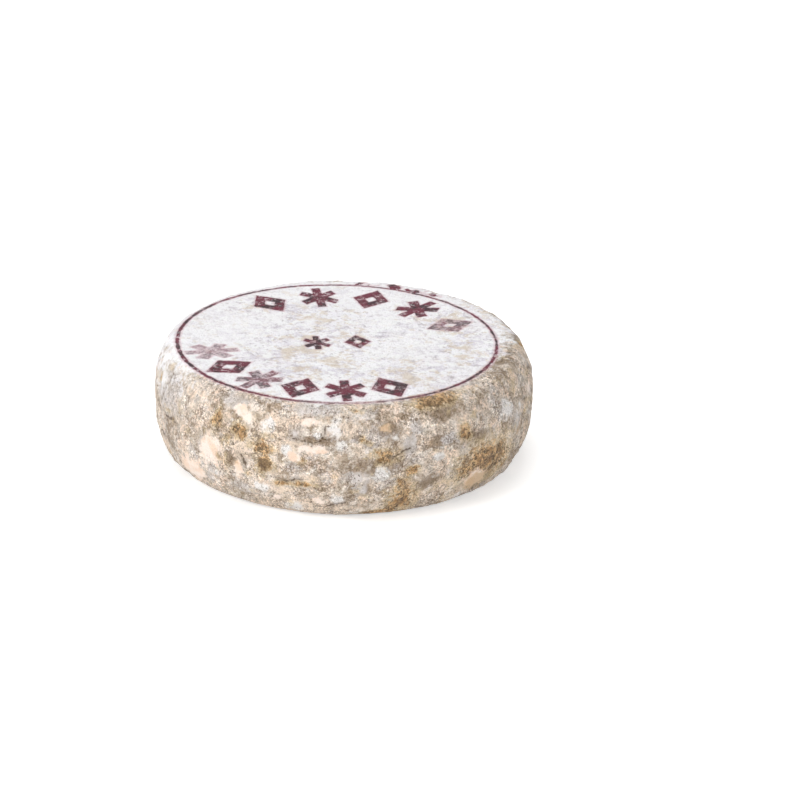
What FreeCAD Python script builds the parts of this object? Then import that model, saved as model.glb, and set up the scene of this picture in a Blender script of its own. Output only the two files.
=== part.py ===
import FreeCAD, Part

# A whole tomme: a natural-rind cheese pressed in a round hoop, salted, and ripened on boards for
# some months. It is one solid, modelled in millimetres with +Z up. The origin is the middle of
# the flat base, at the height of the shelf that the wheel rests on. Someone who faces the front
# of the wheel looks along +Y and has +X to the right.
#
# The hoop gives a round wheel with a flat top. Draining and ripening then do the rest: the wheel
# slumps into a belly a little above half its height, its upper edge softens to a sloping
# shoulder, its heel rounds over to a narrower foot, the follower leaves a shallow hollow in the
# top face inside a low rim, and boards and turning leave long shallow swells round the side.
#
# The side is one smooth surface. Its profile is a curve from the foot over heel and belly to the
# shoulder. The poles of that curve, repeated round the axis and pushed in or out by the swells,
# are the surface's own poles, so nothing ripples between them. A flat top and a flat base close
# it, and a very large ball then takes out the hollow of the top face.

import math
import os

FOLDER = "parts"
NODE = "cheese_wheel"

# Driving dimensions of the wheel
wheel_diameter = 195.0   # across the belly
wheel_height = 59.5      # base to the rim of the top face
belly_height = 35.0      # level of the greatest girth
top_face_radius = 86.0   # where the top face meets the shoulder
foot_radius = 79.0       # where the base meets the heel
shoulder_fullness = 1.9  # 2 is an ellipse; less is a flatter slope
heel_fullness = 2.6      # more than 2 is a squarer corner
hollow_radius = 81.0     # edge of the hollow that the follower pressed into the top face
hollow_depth = 1.1       # at the middle of the top face

# How far draining, turning and ripening have pulled the wheel out of true
oval = 0.004             # share of the radius
oval_bearing = 52.0      # degrees, counted from +X towards +Y
belly_swell = 0.9        # long swells round the side, in or out
dent_depth = 1.3         # extra hollow where the wheel lay against its neighbour
dent_bearing = 158.0
dent_width = 30.0        # degrees over which the dent fades
lean = 0.5               # the top is this much lower on one side and higher on the other
lean_bearing = -60.0

# How finely the profile and the way round are divided
heel_steps = 6
shoulder_steps = 6
poles_round = 32

belly_radius = wheel_diameter / 2
DEGREE = 3


def heel_point(share):
    """Radius and height on the heel, from the foot at share 0 to the belly at share 1."""
    turn = share * math.pi / 2
    radius = foot_radius + (belly_radius - foot_radius) * math.sin(turn) ** (2 / heel_fullness)
    height = belly_height * (1 - math.cos(turn) ** (2 / heel_fullness))
    return radius, height


def shoulder_point(share):
    """Radius and height on the shoulder, from the belly at share 0 to the top face at share 1."""
    turn = share * math.pi / 2
    reach = belly_radius - top_face_radius
    rise = wheel_height - belly_height
    radius = top_face_radius + reach * math.cos(turn) ** (2 / shoulder_fullness)
    height = belly_height + rise * math.sin(turn) ** (2 / shoulder_fullness)
    return radius, height


def profile():
    """The outline of the side as a smooth curve in the plane of X and Z."""
    spots = [heel_point(step / heel_steps) for step in range(heel_steps + 1)]
    spots += [shoulder_point(step / shoulder_steps) for step in range(1, shoulder_steps + 1)]
    points = [FreeCAD.Vector(radius, 0, height) for radius, height in spots]
    outwards = FreeCAD.Vector(1, 0, 0)
    curve = Part.BSplineCurve()
    curve.interpolate(
        Points=points, InitialTangent=outwards, FinalTangent=-outwards, Scale=False,
    )
    return curve


def swell(angle, height):
    """Push of the side, out or in, at a bearing in radians. It fades out towards base and top."""
    level = min(max(height / wheel_height, 0.0), 1.0)
    fade = math.sqrt(math.sin(math.pi * level)) if level < 1 else 0.0
    waves = (
        0.50 * math.sin(2 * angle + 0.7)
        + 0.35 * math.sin(3 * angle - 1.1 + 1.5 * level)
        + 0.22 * math.sin(5 * angle + 2.3 - 2.0 * level)
        + 0.15 * math.sin(8 * angle + 0.4 + 3.0 * level)
    )
    away = (math.degrees(angle) - dent_bearing + 180) % 360 - 180
    dent = math.exp(-((away / dent_width) ** 2))
    return fade * (belly_swell * waves - dent_depth * dent)


def side_pole(angle, pole):
    """Where a pole of the profile goes at a bearing in radians."""
    # A ring of poles draws a slightly smaller circle than its own, and this makes up for it.
    spread = 3 / (2 + math.cos(2 * math.pi / poles_round))
    radius = pole.x * (1 + oval * math.cos(2 * (angle - math.radians(oval_bearing))))
    radius = spread * (radius + swell(angle, pole.z) * pole.x / belly_radius)
    # The upper half follows the lean of the top, which stays a flat plane.
    upper = max(0.0, (pole.z - belly_height) / (wheel_height - belly_height))
    sideways = radius * math.cos(angle - math.radians(lean_bearing))
    height = pole.z - lean * upper**2 * sideways / belly_radius
    return FreeCAD.Vector(radius * math.cos(angle), radius * math.sin(angle), height)


def side():
    """The surface from the foot to the top face, closed round the axis."""
    curve = profile()
    bearings = [2 * math.pi * step / poles_round for step in range(poles_round)]
    poles = [[side_pole(angle, pole) for pole in curve.getPoles()] for angle in bearings]
    surface = Part.BSplineSurface()
    surface.buildFromPolesMultsKnots(
        poles, [1] * (poles_round + 1), curve.getMultiplicities(),
        list(range(poles_round + 1)), curve.getKnots(), True, False, DEGREE, curve.Degree,
    )
    return surface


def flat_end(surface, share):
    """The flat face that closes the side at its foot, share 0, or at its upper edge, share 1."""
    first, last = surface.bounds()[2:]
    edge = surface.vIso(first + share * (last - first)).toShape()
    return Part.Face(Part.Wire([edge]))


def follower_ball():
    """A ball so large that its lowest part is the shallow hollow of the top face."""
    radius = (hollow_radius**2 + hollow_depth**2) / (2 * hollow_depth)
    middle = FreeCAD.Vector(0, 0, wheel_height - hollow_depth + radius)
    # Its axis lies level, which keeps its own poles far away from the cheese.
    return Part.makeSphere(radius, middle, FreeCAD.Vector(1, 0, 0))


def cheese_wheel():
    """The whole wheel as one solid."""
    surface = side()
    shell = Part.makeShell([surface.toShape(), flat_end(surface, 0), flat_end(surface, 1)])
    shell.sewShape()
    pressed = Part.Solid(shell)
    if pressed.Volume < 0:
        pressed.reverse()
    wheel = pressed.cut(follower_ball()).Solids[0]
    if not wheel.isValid() or not shell.isClosed():
        raise ValueError("the side, top and base did not close into one sound solid")
    return wheel


os.makedirs(FOLDER, exist_ok=True)
wheel = cheese_wheel()
wheel.exportStep(os.path.join(FOLDER, NODE + ".step"))
print(f"{NODE}: {wheel.Volume / 1e6:.3f} litres")
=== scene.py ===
import math
import random

import bpy
import numpy as np
from mathutils import Matrix, Vector, noise
from mathutils.bvhtree import BVHTree


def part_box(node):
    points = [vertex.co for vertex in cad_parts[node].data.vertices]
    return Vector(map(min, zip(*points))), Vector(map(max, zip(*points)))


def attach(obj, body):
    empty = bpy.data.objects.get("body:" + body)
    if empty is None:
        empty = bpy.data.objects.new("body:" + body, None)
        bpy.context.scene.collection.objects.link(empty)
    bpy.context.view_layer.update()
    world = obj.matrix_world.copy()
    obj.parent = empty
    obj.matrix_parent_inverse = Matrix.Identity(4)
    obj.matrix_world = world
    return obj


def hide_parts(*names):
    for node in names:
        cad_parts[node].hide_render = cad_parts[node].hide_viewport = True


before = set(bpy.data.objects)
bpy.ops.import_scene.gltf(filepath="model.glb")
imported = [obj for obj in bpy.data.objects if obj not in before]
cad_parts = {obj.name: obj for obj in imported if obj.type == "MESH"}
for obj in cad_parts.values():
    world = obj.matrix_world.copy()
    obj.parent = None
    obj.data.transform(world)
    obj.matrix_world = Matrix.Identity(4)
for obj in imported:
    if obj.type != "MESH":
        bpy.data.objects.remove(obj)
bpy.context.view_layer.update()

# --- The rind: its skin ------------------------------------------------------------------------
# A tomme's rind is one with the cheese: the pressed curd dries at its surface, and mould grows
# over it in the cellar. One closed skin, fine enough for lumps, pits and cracks, is laid over
# the wheel here.

# The side is a grid of rows and columns. The upper face is a square grid bent round, so that no
# ray of thin triangles meets in its middle, and the flat base has a few wide rings.
MM = 0.001                    # a millimetre, in the scene's metres
COLUMNS = 576                 # round the wheel, about 1 mm apart at the belly
SIDE_ROWS = 126               # from the base, over the side, to the upper face
FACE_GRID = COLUMNS // 4      # squares along each side of the upper face's grid
FACE_GRID_RADIUS = 60.0       # where that grid meets the rows, in mm
BASE_RADIUS = 72.0            # where the lowest row starts on the base
BASE_RINGS = (62.0, 48.0, 33.0, 18.0, 7.0)    # radii of the rings of vertices inside it
OUTLINE_STEPS = 600           # points along the wheel's outline, from which the rows are spaced
SMOOTHING_PASSES = 3

highest_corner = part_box("cheese_wheel")[1]
wheel_height = highest_corner[2] / MM
middle_height = wheel_height / 2

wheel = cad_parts["cheese_wheel"]
solid = BVHTree.FromPolygons(
    [vertex.co for vertex in wheel.data.vertices],
    [polygon.vertices for polygon in wheel.data.polygons],
)


def on_solid(start, direction):
    """The point in mm where a line that starts inside the cheese comes out of the solid."""
    hit = solid.ray_cast(Vector(start) * MM, Vector(direction))[0]
    return np.array(hit) / MM


def fan_point(bearing, tilt):
    """That point for a line from a ring inside the wheel, at a bearing and a tilt, in radians."""
    outwards = math.cos(bearing), math.sin(bearing)
    start = FACE_GRID_RADIUS * outwards[0], FACE_GRID_RADIUS * outwards[1], middle_height
    level = math.cos(tilt)
    return on_solid(start, (outwards[0] * level, outwards[1] * level, math.sin(tilt)))


# The rows are equally far apart along the wheel's outline, seen from the side.
lowest_tilt = -math.atan2(middle_height, BASE_RADIUS - FACE_GRID_RADIUS)
tilts = np.linspace(lowest_tilt, math.pi / 2, OUTLINE_STEPS)
outline = np.array([fan_point(0.0, tilt) for tilt in tilts])
along = np.concatenate([[0], np.cumsum(np.linalg.norm(np.diff(outline, axis=0), axis=1))])
row_tilts = np.interp(np.linspace(0, along[-1], SIDE_ROWS), along, tilts)
row_gap = along[-1] / (SIDE_ROWS - 1)
bearings = 2 * math.pi * np.arange(COLUMNS) / COLUMNS
side = np.array([[fan_point(bearing, tilt) for bearing in bearings] for tilt in row_tilts])

# The solid's facets are smoothed away.
for _ in range(SMOOTHING_PASSES):
    side = (2 * side + np.roll(side, 1, axis=1) + np.roll(side, -1, axis=1)) / 4
    side[1:-1] = (2 * side[1:-1] + side[:-2] + side[2:]) / 4

around = np.roll(side, -1, axis=1) - np.roll(side, 1, axis=1)
upwards = np.gradient(side, axis=0)
side_normals = np.cross(around, upwards)
side_normals /= np.linalg.norm(side_normals, axis=2, keepdims=True)


def face_spot(across, back):
    """Where a spot of a square from -1 to 1 lies on the round face, in mm."""
    if abs(across) > abs(back):
        radius, bearing = across, math.pi / 4 * back / across
    elif back != 0:
        radius, bearing = back, math.pi / 2 - math.pi / 4 * across / back
    else:
        radius, bearing = 0.0, 0.0
    radius *= FACE_GRID_RADIUS
    return radius * math.cos(bearing), radius * math.sin(bearing)


ticks = np.linspace(-1, 1, FACE_GRID + 1)
inner = [face_spot(across, back) for back in ticks[1:-1] for across in ticks[1:-1]]
face = np.array([on_solid((x, y, middle_height), (0, 0, 1)) for x, y in inner])
base = np.array(
    [
        (radius * math.cos(bearing), radius * math.sin(bearing), 0.0)
        for radius in BASE_RINGS
        for bearing in bearings
    ]
    + [(0.0, 0.0, 0.0)]
)

spots = np.concatenate([side.reshape(-1, 3), face, base])
face_start = side.size // 3
base_start = face_start + len(face)
normals = np.zeros_like(spots)
normals[:face_start] = side_normals.reshape(-1, 3)
normals[face_start:base_start] = (0, 0, 1)
normals[base_start:] = (0, 0, -1)


def face_vertex(across, back):
    """Number of the vertex at a crossing of the upper face's grid. Its border is the top row."""
    side_length = FACE_GRID
    if 0 < across < side_length and 0 < back < side_length:
        return face_start + (back - 1) * (side_length - 1) + across - 1
    if across == side_length:
        column = back
    elif back == side_length:
        column = 2 * side_length - across
    elif across == 0:
        column = 3 * side_length - back
    else:
        column = 3 * side_length + across
    return (SIDE_ROWS - 1) * COLUMNS + (column - side_length // 2) % COLUMNS


side_faces = [
    (
        row * COLUMNS + column,
        row * COLUMNS + (column + 1) % COLUMNS,
        (row + 1) * COLUMNS + (column + 1) % COLUMNS,
        (row + 1) * COLUMNS + column,
    )
    for row in range(SIDE_ROWS - 1)
    for column in range(COLUMNS)
]
upper_faces = [
    (
        face_vertex(across, back),
        face_vertex(across + 1, back),
        face_vertex(across + 1, back + 1),
        face_vertex(across, back + 1),
    )
    for back in range(FACE_GRID)
    for across in range(FACE_GRID)
]
ring_starts = [0] + [base_start + ring * COLUMNS for ring in range(len(BASE_RINGS))]
base_faces = [
    (
        outer + (column + 1) % COLUMNS,
        outer + column,
        within + column,
        within + (column + 1) % COLUMNS,
    )
    for outer, within in zip(ring_starts, ring_starts[1:])
    for column in range(COLUMNS)
]
base_faces += [
    (ring_starts[-1] + (column + 1) % COLUMNS, ring_starts[-1] + column, len(spots) - 1)
    for column in range(COLUMNS)
]

# --- The rind: its relief ----------------------------------------------------------------------
# What mould, damp and drying leave on the side, in mm: slow lumps, knobs and meal, wrinkles round
# the heel, smooth bare patches, soft tufts of white mould, sunken brown crust, and cracks. The
# upper face was pressed flat and keeps only a trace of it.

SEED = 41
OCTAVE_FADE = 0.8             # how fast the finer lumps of a cloud get weaker
OCTAVE_STEP = 2.0             # how many times finer each octave of a cloud is than the last
LOST_IN_PRESS = 0.8           # share of the relief that the upper face lacks
FLAT_FOOT = 5.0               # height by which the side has its full relief
HEEL = 7.0, 20.0              # heights over which the wrinkles fade out
ON_SHELF = 0.02               # vertices lower than this stay on the flat base
FULL_HOLLOW = 0.4             # depth below the skin's own level that counts as a full hollow

# How far each form lifts or sinks the skin.
SLOW_LUMPS = 0.5
KNOBS = 0.50
MEAL = 0.30
WRINKLES = 0.35
TUFTS_STAND_OUT = 0.35
BARE_SINKS = 0.30
CRUST_SINKS = 0.35
CRACKS_SINK = 0.4

CRACK_HALF_WIDTH = 0.8
CRACK_WAVER = 1.6             # how far a crack's line strays

heights = spots[:, 2]
turns = np.degrees(np.arctan2(spots[:, 1], spots[:, 0]))
belly_radius = np.hypot(spots[:, 0], spots[:, 1]).max()


def cloud(size, octaves, place, stretch=1.0):
    """Soft unevenness between about -1 and 1, with lumps of a size in mm, at every vertex.

    Each place is another part of the same endless noise. A stretch below 1 flattens the lumps.
    """
    shift = Vector((place * 7.3, place * 3.1, place * 5.7 + SEED))
    scaled = spots / size
    scaled[:, 2] /= stretch
    return np.array([
        noise.fractal(Vector(spot) + shift, OCTAVE_FADE, OCTAVE_STEP, octaves) for spot in scaled
    ])


def ramp(values, low_end, high_end):
    """0 up to one end, 1 beyond the other, and an even s-curve between them."""
    share = np.clip((values - low_end) / (high_end - low_end), 0, 1)
    return share * share * (3 - 2 * share)


def arc_from(bearing):
    """How far each vertex lies from a bearing in degrees, in mm round the belly."""
    return np.radians((turns - bearing + 180) % 360 - 180) * belly_radius


IN_MIDDLE = 1.5               # depth in the middle of a patch
EDGE_STRAYS = 12.0            # over a patch's width in mm, this is how ragged its edge is
MOST_RAGGED = 1.1             # the most that a small patch is

wander = cloud(8, 4, 1)


def patch(bearing, height, across, tall):
    """How deep each vertex lies in a patch with a ragged edge: 0 at the edge, negative outside."""
    far = np.hypot(arc_from(bearing) / (across / 2), (heights - height) / (tall / 2))
    return IN_MIDDLE * (1 - far) + min(MOST_RAGGED, EDGE_STRAYS / across) * wander


def deepest(depths):
    """Of several patches, how deep each vertex lies in the one that holds it."""
    return np.max(depths, axis=0)


# Each place is a bearing in degrees from +X towards +Y, so that the front of the wheel is at -90,
# the height of its middle, and its width and height in mm. Bare places, tufts and crust have
# relief and colour; creamy, grey and dark places have colour alone.
bare_places = [
    (-130, 29, 21, 22), (-140, 13, 24, 19), (-120, 23, 7, 10), (-117, 50, 9, 7), (-120, 53, 11, 6),
    (-98, 53, 13, 6), (-98, 40, 17, 5), (-102, 35, 6, 7), (-95, 12, 9, 8), (-44, 13, 24, 14),
    (-76, 50, 8, 6), (-108, 11, 8, 5), (20, 30, 18, 14), (66, 22, 22, 16), (108, 40, 16, 12),
    (150, 20, 22, 18), (-172, 16, 10, 12), (-10, 44, 12, 7),
]
cream_and_heel_light_places = [
    (-109, 49, 28, 13), (-103, 41, 28, 10), (-119, 36, 14, 16), (-88, 50, 24, 9),
    # The wide band low on the front heel is partly painted light: it is paler, as if lit from the
    # floor below.
    (-107, 17, 18, 9), (-97, 4, 74, 18), (-98, 24, 16, 7), (-57, 17, 17, 9),
    (30, 44, 40, 20), (110, 24, 44, 22), (170, 14, 34, 16),
]
grey_places = [
    (-68, 39, 14, 13), (-85, 27, 18, 9), (-55, 23, 14, 10), (-66, 50, 10, 9), (-56, 41, 12, 9),
    (-82, 56, 18, 7), (-83, 19, 10, 7), (-118, 13, 22, 9), (-101, 29, 12, 7), (-102, 47, 11, 11),
    (-50, 32, 16, 10), (-156, 46, 50, 34), (-98, 57.5, 40, 7), (-124, 56, 26, 9),
    (-25, 36, 18, 14), (35, 40, 26, 16), (84, 12, 24, 12), (128, 32, 26, 18), (168, 40, 20, 14),
]
tuft_places = [
    (-111, 49, 8, 9), (-91, 51, 10, 11), (-96, 47, 6, 5), (-89, 43, 6, 6), (-103, 6, 15, 8),
    (-159, 51, 13, 13), (-84, 5, 12, 6), (-77, 27, 8, 9), (-90, 14, 8, 7), (-105, 39, 6, 6),
    (-128, 17, 6, 6), (-112, 16, 12, 5), (-60, 33, 7, 6), (-73, 45, 6, 5), (-30, 44, 14, 10),
    (5, 40, 18, 12), (40, 15, 18, 12), (85, 44, 20, 12), (130, 30, 14, 10), (172, 30, 16, 12),
]
crust_places = [
    (-120, 44, 10, 8), (-112, 38, 13, 10), (-112, 30, 11, 11), (-106, 20, 11, 3.5),
    (-99, 21, 10, 3.5), (-128, 47, 6, 11), (-58, 58.5, 30, 6.5), (-76, 37, 14, 8),
    (-50, 42, 9, 10), (-41, 22, 44, 24), (-71, 11, 15, 26), (-78, 4, 22, 5), (-68, 27, 8, 5),
    (12, 14, 14, 12), (55, 34, 9, 12), (95, 16, 16, 8), (140, 10, 14, 10), (-164, 47, 8, 5),
]
dark_places = [
    (-123, 29, 9, 14), (-96, 45, 21, 5), (-112, 28, 13, 12), (-81, 31, 48, 12), (-60, 41, 14, 10),
    (-58, 55, 32, 12), (-75, 50, 16, 9), (-61, 20, 22, 12), (-151, 19, 10, 9), (-83, 19, 20, 8),
    (-45, 37, 26, 9), (-42, 11, 30, 14), (-100, 31, 9, 6), (0, 26, 22, 12), (75, 36, 24, 10),
    (160, 34, 18, 12),
]

# Chance adds more of each. On the front, where the places above lie close, it adds fewer.
fewer = 0.25 * ramp(np.cos(np.radians(turns + 90)), 0.1, 0.7)


def depth_in(places, size, cloud_place, rareness):
    """Depth in the given places and in chance ones of about a size in mm. Rare ones are small."""
    by_chance = IN_MIDDLE * cloud(size, 4, cloud_place) - rareness - fewer
    return deepest([patch(*place) for place in places] + [by_chance])


bare = depth_in(bare_places, 13, 2, 0.85)
cream_and_heel_light = depth_in(cream_and_heel_light_places, 20, 12, 0.6)
grey = depth_in(grey_places, 16, 9, 0.55)
tufts = depth_in(tuft_places, 9, 3, 0.75)
crust = depth_in(crust_places, 9, 4, 0.95)
dark = depth_in(dark_places, 18, 8, 0.45)

# How much of the full relief each vertex takes: little on the upper face, where the skin slopes
# less than about 20 degrees, and none on the base, which stays flat on its shelf.
pressed = ramp(normals[:, 2], 0.93, 0.995)
standing = ramp(heights, 0.0, FLAT_FOOT)
share = (1 - LOST_IN_PRESS * pressed) * standing

in_bare = ramp(bare, -0.05, 0.3) * (1 - pressed)
in_tufts = ramp(tufts, -0.1, 0.5) * (1 - pressed) * (1 - in_bare)
in_crust = ramp(crust, -0.1, 0.3) * (1 - pressed) * (1 - in_bare)

knobs = KNOBS * cloud(8, 3, 6) * (1 - 0.75 * in_bare)
meal = MEAL * cloud(2.8, 2, 7) * (1 - 0.85 * in_bare) * (1 + 0.9 * in_crust)
wrinkles = WRINKLES * cloud(13, 3, 11, stretch=0.16) * (1 - ramp(heights, *HEEL))
rise = SLOW_LUMPS * cloud(26, 2, 5) + knobs + meal + wrinkles
rise += TUFTS_STAND_OUT * in_tufts - BARE_SINKS * in_bare - CRUST_SINKS * in_crust

# Bearing and height of each crack's middle, its length, its lean from upright in degrees and its
# bow. Chance adds more on the sides and the back.
CRACKS = 40
cracks = [
    (-127, 48, 15, -6, 1.5), (-148, 15, 11, -40, 0.5), (-97, 44, 22, 88, 1.2),
    (-94, 48, 7, 10, 0.4), (-58, 29, 7, -20, 0.5), (-40, 21, 22, 74, 1.5),
    (-38, 16, 18, 66, 1.2), (-70, 14, 17, 8, 1.2), (-104, 22, 14, 84, 1.2),
    (-118, 28, 9, -12, 0.8), (-72, 37, 12, 70, 0.8), (-90, 10, 12, 75, 0.8),
]
chance = random.Random(SEED)
while len(cracks) < CRACKS:
    middle = chance.uniform(-30, 210), chance.uniform(8, 50)
    length, lean = chance.uniform(6, 22), chance.uniform(20, 140)
    cracks.append((*middle, length, lean, chance.uniform(-2.5, 2.5)))


def off_crack(bearing, height, length, lean, bow):
    """How far each vertex lies from a crack's bowed, wavering line, in mm."""
    across, up = arc_from(bearing), heights - height
    lean = math.radians(lean)
    down_it = across * math.sin(lean) + up * math.cos(lean)
    off_it = across * math.cos(lean) - up * math.sin(lean)
    off_it = off_it + bow * (2 * down_it / length) ** 2 + CRACK_WAVER * wander
    past_end = np.maximum(np.abs(down_it) - length / 2, 0)
    return np.hypot(off_it, 1.5 * past_end)


crack_distance = np.min([off_crack(*crack) for crack in cracks], axis=0)
rise -= CRACKS_SINK * np.exp(-((crack_distance / CRACK_HALF_WIDTH) ** 2)) * (1 - pressed)

lifted = spots + normals * (rise * share)[:, None]
lifted[:, 2] = np.maximum(lifted[:, 2], 0.0)
lifted[heights < ON_SHELF, 2] = 0.0
# Depth in the hollows and height on the knobs, from which the material paints dirt with painted
# shade in the hollows and pale meal with a painted highlight on the knobs.
hollows = -(knobs + meal + wrinkles) / FULL_HOLLOW

# --- The rind: the maker's stamp ---------------------------------------------------------------
# Before ripening, the upper face is inked with a stamp: a plain ring near its edge, a row of
# open lozenges and stars of six rays inside it along the back and the front, and a small pair
# in the middle. Each vertex notes how far outside the ink it lies, in mm.

RING_MIDDLE = (-3.6, -1.4)
RING_RADIUS = 81.8
RING_WIDTH = 1.6
BOLDER = 0.15                 # the line's extra width on each side where it is boldest
THINNER = 0.2                 # and its missing width where it is faintest
PALER = 0.35                  # share of the ink that is missing there
INK_SPREAD = 0.35             # how far the ink crept into the rind, here more and there less
FAR_FROM_INK = 9.0            # distances are noted up to this one
LOZENGE_SLIMNESS = 1.35       # its height over its width
LOZENGE_OPENING = 0.40        # of its size, from the ink's outer to its inner edge
STAR_SLIMNESS = 1.3
STAR_RAY = 0.22               # half the width of a ray, as a share of the star's size
BLOT_WANDER = 2.4

from_middle = spots[:, :2] - RING_MIDDLE
ring_radii = np.hypot(from_middle[:, 0], from_middle[:, 1])
# The stamp pressed a bolder line on the front left and a thin, pale one at the front.
bold = np.cos(np.radians(turns + 125))
faint = np.exp(-((arc_from(-84) / 28) ** 2))
off_ink = np.abs(ring_radii - RING_RADIUS) - RING_WIDTH / 2 - BOLDER * bold + THINNER * faint
off_ink += INK_SPREAD * cloud(3, 2, 10)
strength = 1.0 - PALER * faint


def off_lozenge(outwards, sideways, size):
    """Distance in mm outside a lozenge with an open middle, whose half height is its size."""
    # The slope of its sides makes the true distance about 0.6 of the one along its height.
    diamond = (np.abs(outwards) + LOZENGE_SLIMNESS * np.abs(sideways) - size) * 0.6
    return np.maximum(diamond, -diamond - LOZENGE_OPENING * size)


def off_star(outwards, sideways, size):
    """Distance outside a star of six rays, which is three bars that cross."""
    sideways = STAR_SLIMNESS * sideways
    bars = []
    for tilt in (0, math.pi / 3, 2 * math.pi / 3):
        along_bar = np.abs(outwards * math.cos(tilt) + sideways * math.sin(tilt))
        off_bar = np.abs(sideways * math.cos(tilt) - outwards * math.sin(tilt))
        bars.append(np.maximum(along_bar - size, off_bar - STAR_RAY * size))
    return np.min(bars, axis=0)


def off_blot(outwards, sideways, size):
    """Distance outside a blot that is three times as wide as it is high."""
    return (np.hypot(outwards, sideways / 3) - size) * 0.8


def stamped(off_shape, bearing, radius, upright, size):
    """Distance outside a mark at a bearing and radius, whose top points along a bearing too."""
    bearing, upright = math.radians(bearing), math.radians(upright)
    x = from_middle[:, 0] - radius * math.cos(bearing)
    y = from_middle[:, 1] - radius * math.sin(bearing)
    outwards = x * math.cos(upright) + y * math.sin(upright)
    sideways = y * math.cos(upright) - x * math.sin(upright)
    return off_shape(outwards, sideways, size)


# Bearing and radius of each mark's middle, the bearing of its top, and half its height. The
# marks are lozenges and stars in turn, and a few took less ink, as a share of the full strength.
back_row = [(126 - 25.2 * number, 64.0, 126 - 25.2 * number, 13.2) for number in range(5)]
front_row = [(-163 + 19.6 * number, 65.8, -163 + 19.6 * number, 13.4) for number in range(6)]
pair = [(188, 10.5, 98, 9.2), (8, 10.5, 98, 9.2)]
weak_marks = {4: 0.8, 5: 0.65, 7: 0.85}
for number, (*place, size) in enumerate(back_row + front_row + pair):
    off_shape = off_star if number % 2 else off_lozenge
    off_mark = stamped(off_shape, *place, size)
    strength = np.where(off_mark < off_ink, weak_marks.get(number, 1.0), strength)
    off_ink = np.minimum(off_ink, off_mark)

# The stamp slipped at the back and left blots beside the ring: bearing, radius and half height.
blots = [(79, 84.3, 0.9), (71, 85.4, 1.5), (62, 85.0, 1.8), (55, 85.6, 1.0)]
for bearing, radius, size in blots:
    off_one = stamped(off_blot, bearing, radius, bearing, size) + BLOT_WANDER * wander
    off_ink = np.minimum(off_ink, off_one)
off_ink = np.clip(off_ink, -FAR_FROM_INK, FAR_FROM_INK)
off_ink[heights < middle_height] = FAR_FROM_INK

# How far the white bloom of the upper face reaches over the shoulder, in mm past the ring: down
# it at the back, less far on the left, and hardly at all at the front, where hands rubbed it.
BLOOM_REACH = 11.0
LESS_IN_FRONT = 11.3
LESS_ON_LEFT = 1.0
FADES_INSIDE = 3.0            # mm over which it fades, inside the ring and outside it
FADES_OUTSIDE = 9.0
EDGE_WANDERS = 4.0
LOWEST_BLOOM = 12.0           # above the wheel's middle height
LAST_BLOOM = 6.0              # mm over which it ends below that

past_ring = ring_radii - RING_RADIUS
facing_front = ramp(np.cos(np.radians(turns + 75)), -0.05, 0.6)
facing_left = ramp(np.cos(np.radians(turns - 190)), 0.5, 0.95)
reach = BLOOM_REACH - LESS_IN_FRONT * facing_front - LESS_ON_LEFT * facing_left
fade = np.where(past_ring > 1, FADES_OUTSIDE, FADES_INSIDE)
white_cover = (reach - past_ring + EDGE_WANDERS * wander * (past_ring > 0)) / fade
below = np.maximum(middle_height + LOWEST_BLOOM - heights, 0) / LAST_BLOOM
white_cover = np.clip(white_cover - below, -3, 3)

# Where the bloom of the upper face is thin and the paste shows through: place of the middle from
# left to right and from front to back, then width and depth of the stain, in mm.
stain_places = [
    (-22, -17, 26, 32), (-1, -29, 22, 24), (-13, 32, 24, 18), (3, 8, 18, 18), (36, -46, 30, 24),
    (-45, 46, 16, 12), (-20, -44, 20, 22), (-18, 3, 16, 16), (49, -62, 18, 12), (52, 30, 26, 22),
    (62, -12, 16, 26),
]
stains = [
    1 - np.hypot((spots[:, 0] - across) / (width / 2), (spots[:, 1] - back) / (depth / 2))
    for across, back, width, depth in stain_places
]
stain = deepest(stains) + 1.1 * wander

# --- The rind: its mesh ------------------------------------------------------------------------
# The skin becomes one mesh. Its map for baking has the upper face and the base as two discs and
# the side as two long strips, all at one scale.

faces = side_faces + upper_faces + base_faces
rind_mesh = bpy.data.meshes.new("rind")
rind_mesh.from_pydata((lifted * MM).tolist(), [], faces)
rind_mesh.polygons.foreach_set("use_smooth", [True] * len(faces))
rind = bpy.data.objects.new("rind", rind_mesh)
bpy.context.collection.objects.link(rind)

FAR_FROM_PATCH = 2.0          # depths are noted up to this one, above zero and below
FAR_FROM_CRACK = 9.0

# What each vertex notes for the material. The base is free of patches and cracks.
under = ramp(-normals[:, 2], 0.9, 0.99)
depths = {
    "bare": bare,
    "cream_and_heel_light": cream_and_heel_light,
    "grey": grey,
    "tufts": tufts,
    "crust": crust,
    "dark": dark,
    "stain": stain,
}
layers = {
    name: np.clip(depth, -FAR_FROM_PATCH, FAR_FROM_PATCH) * (1 - under) - FAR_FROM_PATCH * under
    for name, depth in depths.items()
}
near_crack = np.clip(crack_distance, 0, FAR_FROM_CRACK)
layers["crack"] = near_crack * (1 - under) + FAR_FROM_CRACK * under
layers["hollow"] = hollows * (1 - pressed)
layers["ink"] = off_ink
layers["ink_strength"] = strength
layers["white_cover"] = white_cover
for name, values in layers.items():
    layer = rind_mesh.attributes.new(name, "FLOAT", "POINT")
    layer.data.foreach_set("value", values.astype(np.float32))

MAP_SIDE = 356.0              # mm of skin along each side of the square map
MAP_MARGIN = 4.0
STRIP_FOOT = 1.2              # height of the strips' lower edge on the side
STRIP_TOP = 2.2               # how far their upper edge lies below the wheel's top
UPPER_DISC_INSET = 5.0        # how much smaller than the belly the upper disc is
BASE_DISC_EXTRA = 9.0         # how much larger than the lowest row the base's disc is

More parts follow.
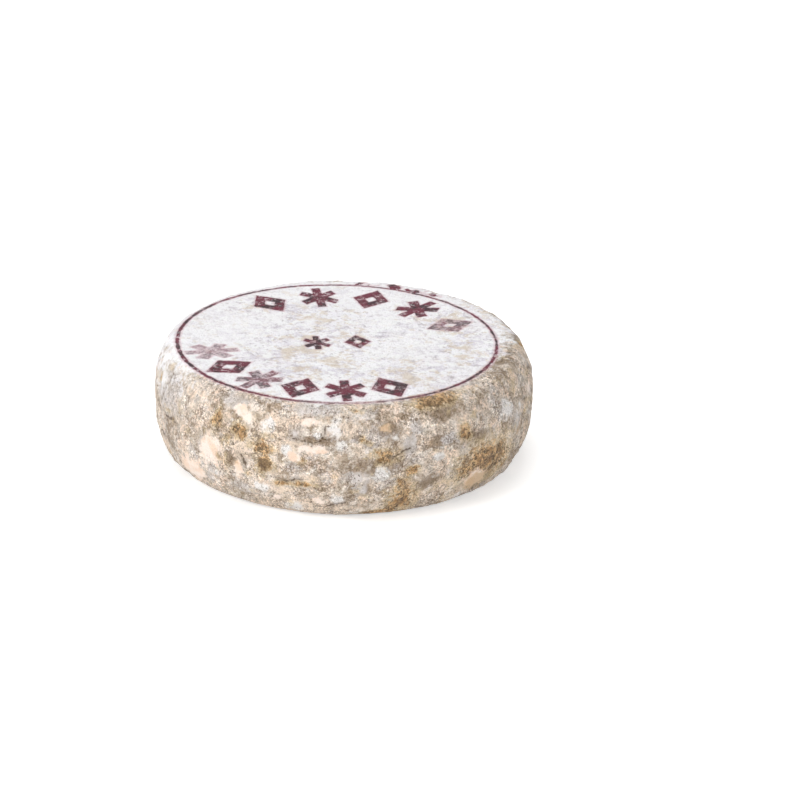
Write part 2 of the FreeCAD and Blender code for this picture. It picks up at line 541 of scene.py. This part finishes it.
strip_length = math.pi * belly_radius
first_row = int(np.argmax(side[:, 0, 2] > STRIP_FOOT))
last_row = int(np.argmax(side[:, 0, 2] > wheel_height - STRIP_TOP))
strip_height = (last_row - first_row) * row_gap
disc_radius = belly_radius - UPPER_DISC_INSET
upper_disc = MAP_MARGIN + disc_radius, MAP_MARGIN + disc_radius
base_disc = MAP_SIDE - MAP_MARGIN - BASE_RADIUS - BASE_DISC_EXTRA, MAP_MARGIN + disc_radius
strip_start = 2 * (MAP_MARGIN + disc_radius)


def on_disc(disc, vertex):
    """A vertex on the map's disc of the upper face or of the base."""
    return (disc[0] + spots[vertex, 0]) / MAP_SIDE, (disc[1] + spots[vertex, 1]) / MAP_SIDE


def on_strip(row, column, half):
    """A row and column of the side on the map's strip of one half of the wheel."""
    across = MAP_MARGIN + strip_length * (column / (COLUMNS / 2) - half)
    up = strip_start + half * (strip_height + MAP_MARGIN) + (row - first_row) * row_gap
    return across / MAP_SIDE, up / MAP_SIDE


map_spots = []
for number, corners in enumerate(side_faces):
    row, column = divmod(number, COLUMNS)
    if first_row <= row < last_row:
        half = column // (COLUMNS // 2)
        steps = (row, column), (row, column + 1), (row + 1, column + 1), (row + 1, column)
        map_spots += [on_strip(*step, half) for step in steps]
    else:
        disc = base_disc if row < first_row else upper_disc
        map_spots += [on_disc(disc, vertex) for vertex in corners]
map_spots += [on_disc(upper_disc, vertex) for corners in upper_faces for vertex in corners]
map_spots += [on_disc(base_disc, vertex) for corners in base_faces for vertex in corners]
bake_map = rind_mesh.uv_layers.new(name="OFBake")
bake_map.data.foreach_set("uv", np.array(map_spots, dtype=np.float32).ravel())

# --- The rind: its material --------------------------------------------------------------------
# Natural rind, ripened in a cellar: a dry, mealy crust of grey mould over beige paste. It is
# quite matt, mottled at every size from a hand's breadth to a grain, whitish with bloom where
# nothing touched it, and smooth and peach-coloured where the mould has come away.

RELIEF_OF_MEAL = 0.0018       # heights in metres that the bumps give to meal and grain
RELIEF_OF_GRAIN = 0.0008


def colour(code):
    """An sRGB hex code as linear red, green, blue and alpha."""
    parts = [int(code[start:start + 2], 16) / 255 for start in (1, 3, 5)]
    linear = [
        part / 12.92 if part <= 0.04045 else ((part + 0.055) / 1.055) ** 2.4 for part in parts
    ]
    return (*linear, 1.0)


def add(kind, inputs, **settings):
    """Adds a node. Each input is a value or the output of another node that is linked to it."""
    node = tree.nodes.new(kind)
    for name, value in settings.items():
        setattr(node, name, value)
    for name, value in inputs.items():
        if isinstance(value, bpy.types.NodeSocket):
            tree.links.new(value, node.inputs[name])
        else:
            node.inputs[name].default_value = value
    return node.outputs


rind_material = bpy.data.materials.new("natural rind, cellar-ripened")
rind_material.use_nodes = True
tree = rind_material.node_tree
tree.nodes.clear()
where = add("ShaderNodeTexCoord", {})["Object"]


def mottling(size, detail, roughness, shift):
    """A fractal noise whose largest lumps have a size in mm, about 0.5 on average.

    Each shift is another part of the noise, so that no two mottlings look alike.
    """
    away = {"Vector": where, "Location": (shift, shift / 2, -shift)}
    moved = add("ShaderNodeMapping", away)["Vector"]
    looks = {"Vector": moved, "Scale": 1 / (size * MM), "Detail": detail, "Roughness": roughness}
    return add("ShaderNodeTexNoise", looks)["Fac"]


# The mealy unevenness that frays every edge, about 0 on average.
unevenness = mottling(2.6, 4, 0.75, 0.3)
ragged = add("ShaderNodeMath", {0: unevenness, 1: 0.5}, operation="SUBTRACT")["Value"]
# The finest real grain is a tenth of a millimetre. It is drawn coarser, or it would be lost.
grain = mottling(0.95, 2, 0.8, 0.7)


def patches(name, raggedness):
    """What the mesh notes at every vertex under a name, with ragged edges."""
    noted = add("ShaderNodeAttribute", {}, attribute_name=name)["Fac"]
    frayed = {0: ragged, 1: raggedness, 2: noted}
    return add("ShaderNodeMath", frayed, operation="MULTIPLY_ADD")["Value"]


def coat(under, upper, pattern, begins, full, most=1.0):
    """Lays a colour over another: none of it where a pattern begins, most of it where it is full.

    Either colour is an sRGB hex code or what the rind already has there.
    """
    ends = {"Value": pattern, "From Min": begins, "From Max": full, "To Max": most}
    share = add("ShaderNodeMapRange", ends, interpolation_type="SMOOTHSTEP")["Result"]
    under, upper = [colour(side) if isinstance(side, str) else side for side in (under, upper)]
    return add("ShaderNodeMix", {0: share, 6: under, 7: upper}, data_type="RGBA")[2]


# Grey mould over beige paste, in islands of every size.
skin = "#D8C7B5"
islands = [
    # size in mm, noise where they begin, noise where they are full, most of it, shift, colour
    (30, 0.44, 0.60, 0.85, 1.1, "#A38D76"),
    (24, 0.54, 0.42, 0.90, 2.3, "#F1E2D3"),
    (14, 0.48, 0.62, 0.75, 4.9, "#A4917A"),
    (13, 0.50, 0.62, 0.80, 6.7, "#CEC5C1"),
    (11, 0.50, 0.60, 0.80, 5.3, "#F4DCC7"),
    (7, 0.53, 0.61, 0.75, 3.7, "#F7ECE1"),
    (5, 0.54, 0.62, 0.55, 6.1, "#FBE8D6"),
    (4.5, 0.53, 0.62, 0.45, 7.9, "#8A745A"),
    (2.6, 0.53, 0.61, 0.45, 8.3, "#FCF4EC"),
    (2.4, 0.55, 0.64, 0.40, 8.9, "#705942"),
]
for size, begins, full, most, shift, code in islands:
    skin = coat(skin, code, mottling(size, 5, 0.65, shift), begins, full, most)

# Damp brownish places, dirt and painted shade in the hollows, pale meal and painted highlight on
# the knobs, and clean creamy places, partly painted light along the front heel.
skin = coat(skin, "#8A745B", patches("dark", 2.2), -0.1, 0.9, 0.8)
# Painted shade: darker in the hollows of the relief, partly dirt. Painted highlight: paler on the
# knobs, partly meal.
skin = coat(skin, "#75624D", patches("hollow", 1.6), 0.5, 1.6, 0.45)
skin = coat(skin, "#F8EFE4", patches("hollow", 1.6), -0.5, -1.6, 0.5)
# Creamy places. Along the front heel this is partly painted light from the floor.
skin = coat(skin, "#F3DFCB", patches("cream_and_heel_light", 3.2), -0.2, 0.9, 0.75)

# Soft felts of grey mould and tufts of white mould.
felt = coat("#E0DAD8", "#BFB4AB", mottling(6, 4, 0.7, 9.3), 0.44, 0.60)
skin = coat(skin, felt, patches("grey", 2.2), 0.0, 0.9, 0.8)
skin = coat(skin, "#F5F1EE", patches("tufts", 2.6), -0.1, 0.9, 0.9)

# Brown crust full of pits in a golden stain, darker where it is damp, and specks of dark mould.
skin = coat(skin, "#DEC79E", patches("crust", 2.6), -0.7, 0.2, 0.6)
crust_skin = coat("#E1B986", "#A97A47", mottling(4, 4, 0.75, 2.0), 0.44, 0.58)
crust_skin = coat(crust_skin, "#644729", patches("dark", 2.0), 0.3, 1.0, 0.85)
crust_skin = coat(crust_skin, "#4A3219", mottling(2.0, 3, 0.75, 2.6), 0.525, 0.575, 0.9)
crust_skin = coat(crust_skin, "#3A2716", mottling(5, 4, 0.75, 12.6), 0.57, 0.61, 0.9)
skin = coat(skin, crust_skin, patches("crust", 3.2), 0.0, 0.7, 0.85)
specks = {0: mottling(14, 2, 0.5, 9.9), 1: 0.5, 2: mottling(1.6, 1.5, 0.6, 9.1)}
specks = add("ShaderNodeMath", specks, operation="MULTIPLY_ADD")["Value"]
skin = coat(skin, "#5A4937", specks, 0.94, 0.99, 0.8)

# Fine dry cracks, as thin as a hair and broken off everywhere, run where a noise is near its
# average. The larger cracks of the mesh are dark inside, with a paler brown of painted shade along
# them, as in a crevice.
for size, shift, width, most in ((7, 10.3, 0.070, 0.55), (2.8, 11.7, 0.082, 0.6)):
    hairs = {0: mottling(size, 4, 0.6, shift), 1: 0.5}
    hairs = add("ShaderNodeMath", hairs, operation="SUBTRACT")["Value"]
    hairs = add("ShaderNodeMath", {0: hairs}, operation="ABSOLUTE")["Value"]
    broken_off = {0: mottling(9, 3, 0.6, 10.9), 1: 0.12, 2: hairs}
    hairs = add("ShaderNodeMath", broken_off, operation="MULTIPLY_ADD")["Value"]
    skin = coat(skin, "#6E5843", hairs, width, width - 0.012, most)
# Painted shade: a soft brown darkening within about 2.5 mm of each larger crack.
skin = coat(skin, "#8F7A64", patches("crack", 0.0), 2.5, 0.3, 0.4)
skin = coat(skin, "#4A3727", patches("crack", 1.8), 0.6, 0.1, 0.8)

# Bare patches, smooth and peach-coloured, and tan where the rind has stayed damp.
bare_skin = coat("#FADFC9", "#FFEFE3", mottling(9, 3, 0.6, 3.0), 0.40, 0.56)
bare_skin = coat(bare_skin, "#D6B48B", patches("dark", 0.0), 0.1, 0.6, 0.8)
skin = coat(skin, bare_skin, patches("bare", 2.6), 0.0, 0.8, 0.95)

# Grain, lighter and darker: strong where the rind is mealy, faint on felts and bare patches. It
# follows the noise that also raises the grain's bumps, so it is partly painted shade in the pits
# and partly a painted highlight on top. It multiplies the red, green and blue by the first number
# in its pits and by the second on top.
mealy = {"Value": mottling(16, 3, 0.6, 18.1), "From Min": 0.4, "From Max": 0.6, "To Min": 0.3}
mealy = add("ShaderNodeMapRange", mealy)["Result"]
for name, most in (("bare", 0.8), ("cream_and_heel_light", 0.2), ("grey", 0.35), ("tufts", 0.3)):
    smooth = {"Value": patches(name, 1.6), "From Min": 0.0, "From Max": 0.8, "To Max": most}
    smooth = add("ShaderNodeMapRange", smooth)["Result"]
    mealy = add("ShaderNodeMath", {0: mealy, 1: smooth}, operation="SUBTRACT")["Value"]
grain_tone_and_shade_ends = {"Red": (0.43, 1.52), "Green": (0.39, 1.56), "Blue": (0.33, 1.62)}
for name, (darkest, lightest) in grain_tone_and_shade_ends.items():
    ends = {"Value": grain, "From Min": 0.3, "From Max": 0.7, "To Min": darkest, "To Max": lightest}
    grain_tone_and_shade_ends[name] = add("ShaderNodeMapRange", ends)["Result"]
grain_tone_and_shade = add("ShaderNodeCombineColor", grain_tone_and_shade_ends)["Color"]
grain_tone_and_shade_mix = {0: mealy, 6: skin, 7: grain_tone_and_shade}
skin = add("ShaderNodeMix", grain_tone_and_shade_mix, data_type="RGBA", blend_type="MULTIPLY")[2]

# The white face: bloom over pressed curd, with lilac-grey clouds, beige stains and pale flecks.
face_skin = "#FBF9FD"
face_islands = [
    (40, 0.50, 0.60, 0.45, 11.1, "#ECE5E8"),
    (22, 0.50, 0.42, 0.85, 12.3, "#FFFEFF"),
    (14, 0.50, 0.62, 0.60, 13.7, "#D6CFDA"),
    (10, 0.54, 0.63, 0.60, 20.3, "#DFD0BC"),
    (6, 0.53, 0.62, 0.55, 19.3, "#BDB3BA"),
    (5, 0.47, 0.40, 0.90, 14.9, "#FFFFFF"),
    (2.6, 0.56, 0.62, 0.50, 15.3, "#A89DA2"),
    (2.0, 0.45, 0.40, 0.85, 16.1, "#FFFFFF"),
]
for size, begins, full, most, shift, code in face_islands:
    face_skin = coat(face_skin, code, mottling(size, 5, 0.7, shift), begins, full, most)
face_skin = coat(face_skin, "#FFFEFF", patches("stain", 2.0), -0.6, -1.8, 0.45)
blotched = {0: mottling(9, 5, 0.8, 19.9), 1: 3.0, 2: patches("stain", 2.6)}
blotched = add("ShaderNodeMath", blotched, operation="MULTIPLY_ADD")["Value"]
face_skin = coat(face_skin, "#D9C8B2", blotched, 1.4, 2.6, 0.65)
cover = {0: mottling(7, 4, 0.7, 17.1), 1: 3.0, 2: patches("white_cover", 2.4)}
cover = add("ShaderNodeMath", cover, operation="MULTIPLY_ADD")["Value"]
skin = coat(skin, face_skin, cover, 1.0, 2.1)

# Stamping ink, wine-red, spread a little into the rind and flecked where bloom grew over it.
ink = coat("#701C34", "#35161F", mottling(12, 4, 0.7, 6.0), 0.44, 0.58)
past_ink = patches("ink", 1.6)
skin = coat(skin, "#CFA3AC", past_ink, 1.5, 0.2, 0.45)
inked = {"Value": past_ink, "From Min": 0.3, "From Max": -0.2}
inked = add("ShaderNodeMapRange", inked, interpolation_type="SMOOTHSTEP")["Result"]
pressure = add("ShaderNodeAttribute", {}, attribute_name="ink_strength")["Fac"]
wear = {0: pressure, 1: -0.25, 2: mottling(3.6, 5, 0.85, 5.0)}
wear = add("ShaderNodeMath", wear, operation="MULTIPLY_ADD")["Value"]
unworn = {"Value": wear, "From Min": 0.37, "From Max": 0.29, "To Min": 0.2, "To Max": 0.97}
unworn = add("ShaderNodeMapRange", unworn)["Result"]
inked = add("ShaderNodeMath", {0: inked, 1: unworn}, operation="MULTIPLY")["Value"]
inked = add("ShaderNodeMath", {0: inked, 1: pressure}, operation="MULTIPLY")["Value"]
skin = add("ShaderNodeMix", {0: inked, 6: skin, 7: ink}, data_type="RGBA")[2]

# Meal and grain stand up a little from the skin.
coarse = {"Height": ragged, "Strength": 1.0, "Distance": RELIEF_OF_MEAL}
bumps = add("ShaderNodeBump", coarse)["Normal"]
fine = {"Height": grain, "Strength": 1.0, "Distance": RELIEF_OF_GRAIN, "Normal": bumps}
bumps = add("ShaderNodeBump", fine)["Normal"]
dullness = {"Value": ragged, "From Min": -0.2, "From Max": 0.2, "To Min": 0.92, "To Max": 0.74}
dullness = add("ShaderNodeMapRange", dullness)["Result"]
finish = {
    "Base Color": skin,
    "Roughness": dullness,
    "IOR": 1.45,
    "Specular IOR Level": 0.25,
    "Sheen Weight": 0.1,
    "Sheen Roughness": 0.5,
    "Normal": bumps,
}
surface = add("ShaderNodeBsdfPrincipled", finish)["BSDF"]
add("ShaderNodeOutputMaterial", {"Surface": surface})
rind_mesh.materials.append(rind_material)

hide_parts("cheese_wheel")
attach(rind, "root")

# --- The floor ---------------------------------------------------------------------------------
# A sheet of matt white paper, much larger than the view. To the camera it is plain white, apart
# from the soft shadow under the wheel.

FLOOR_SIDE = 8.0
FLOOR_GLOW = 0.45             # what the paper lacks to be white to the camera

half_side = FLOOR_SIDE / 2
floor_corners = [
    (-half_side, -half_side, 0),
    (half_side, -half_side, 0),
    (half_side, half_side, 0),
    (-half_side, half_side, 0),
]
floor_mesh = bpy.data.meshes.new("floor")
floor_mesh.from_pydata(floor_corners, [], [(0, 1, 2, 3)])
floor = bpy.data.objects.new("floor", floor_mesh)
bpy.context.collection.objects.link(floor)
floor_material = bpy.data.materials.new("white paper, matt")
floor_material.use_nodes = True
tree = floor_material.node_tree
tree.nodes.clear()
paper = add("ShaderNodeBsdfDiffuse", {"Color": colour("#EEEEEE")})["BSDF"]
rays = add("ShaderNodeLightPath", {})
seen = rays["Is Camera Ray"]
for ray in ("Is Glossy Ray", "Is Transmission Ray"):
    seen = add("ShaderNodeMath", {0: seen, 1: rays[ray]}, operation="MAXIMUM")["Value"]
glow = add("ShaderNodeMath", {0: seen, 1: FLOOR_GLOW}, operation="MULTIPLY")["Value"]
light = add("ShaderNodeEmission", {"Color": (1.0, 1.0, 1.0, 1.0), "Strength": glow})["Emission"]
sheet = add("ShaderNodeAddShader", {0: paper, 1: light})["Shader"]
add("ShaderNodeOutputMaterial", {"Surface": sheet})
floor_mesh.materials.append(floor_material)

# --- Light and camera --------------------------------------------------------------------------
# Large soft lamps from the left, the front and above, as in a shop's own small studio, and a
# long lens that looks down on the wheel from a little above.

LAMPS_AIM_AT = Vector((0, 0, 0.03))
SKY = 0.38                    # strength of the even white light from all round

# Place, side in metres and power in watts of each lamp.
lamps = {
    "left softbox": ((-1.35, -0.85, 0.75), 0.9, 19.5),
    "front softbox": ((0.75, -1.55, 0.45), 1.2, 14.0),
    "overhead softbox": ((-0.15, 0.3, 1.6), 1.2, 14.8),
}
for name, (place, size, power) in lamps.items():
    lamp = bpy.data.lights.new(name, "AREA")
    lamp.size = size
    lamp.energy = power
    holder = bpy.data.objects.new(name, lamp)
    holder.location = place
    facing = LAMPS_AIM_AT - Vector(place)
    holder.rotation_euler = facing.to_track_quat("-Z", "Y").to_euler()
    bpy.context.collection.objects.link(holder)

world = bpy.data.worlds.new("studio")
world.use_nodes = True
bpy.context.scene.world = world
background = world.node_tree.nodes["Background"]
background.inputs["Color"].default_value = (1.0, 1.0, 1.0, 1.0)
background.inputs["Strength"].default_value = SKY

LOOKS_DOWN = 22.8             # degrees below the level
ROLL = 1.6                    # degrees, the wheel's right side higher
DISTANCE = 1.334
LENS = 116.0                  # focal length in mm
SENSOR_WIDTH = 36.0
WHEEL_MIDDLE = Vector((0, 0, 0.032))
LEFT_OF_VIEW = 0.0292         # how far the wheel's middle stands left of the view's middle
ABOVE_VIEW = 0.0057

tilt = math.radians(LOOKS_DOWN)
turned = Vector((0, math.cos(tilt), -math.sin(tilt))).to_track_quat("-Z", "Y").to_matrix()
turned = turned @ Matrix.Rotation(math.radians(ROLL), 3, "Z")
aim = WHEEL_MIDDLE + turned @ Vector((LEFT_OF_VIEW, -ABOVE_VIEW, 0))
camera_data = bpy.data.cameras.new("camera")
camera_data.lens = LENS
camera_data.sensor_width = SENSOR_WIDTH
camera = bpy.data.objects.new("camera", camera_data)
camera.matrix_world = Matrix.Translation(aim + turned @ Vector((0, 0, DISTANCE))) @ turned.to_4x4()
bpy.context.collection.objects.link(camera)
bpy.context.scene.camera = camera
bpy.context.scene.view_settings.view_transform = "Standard"
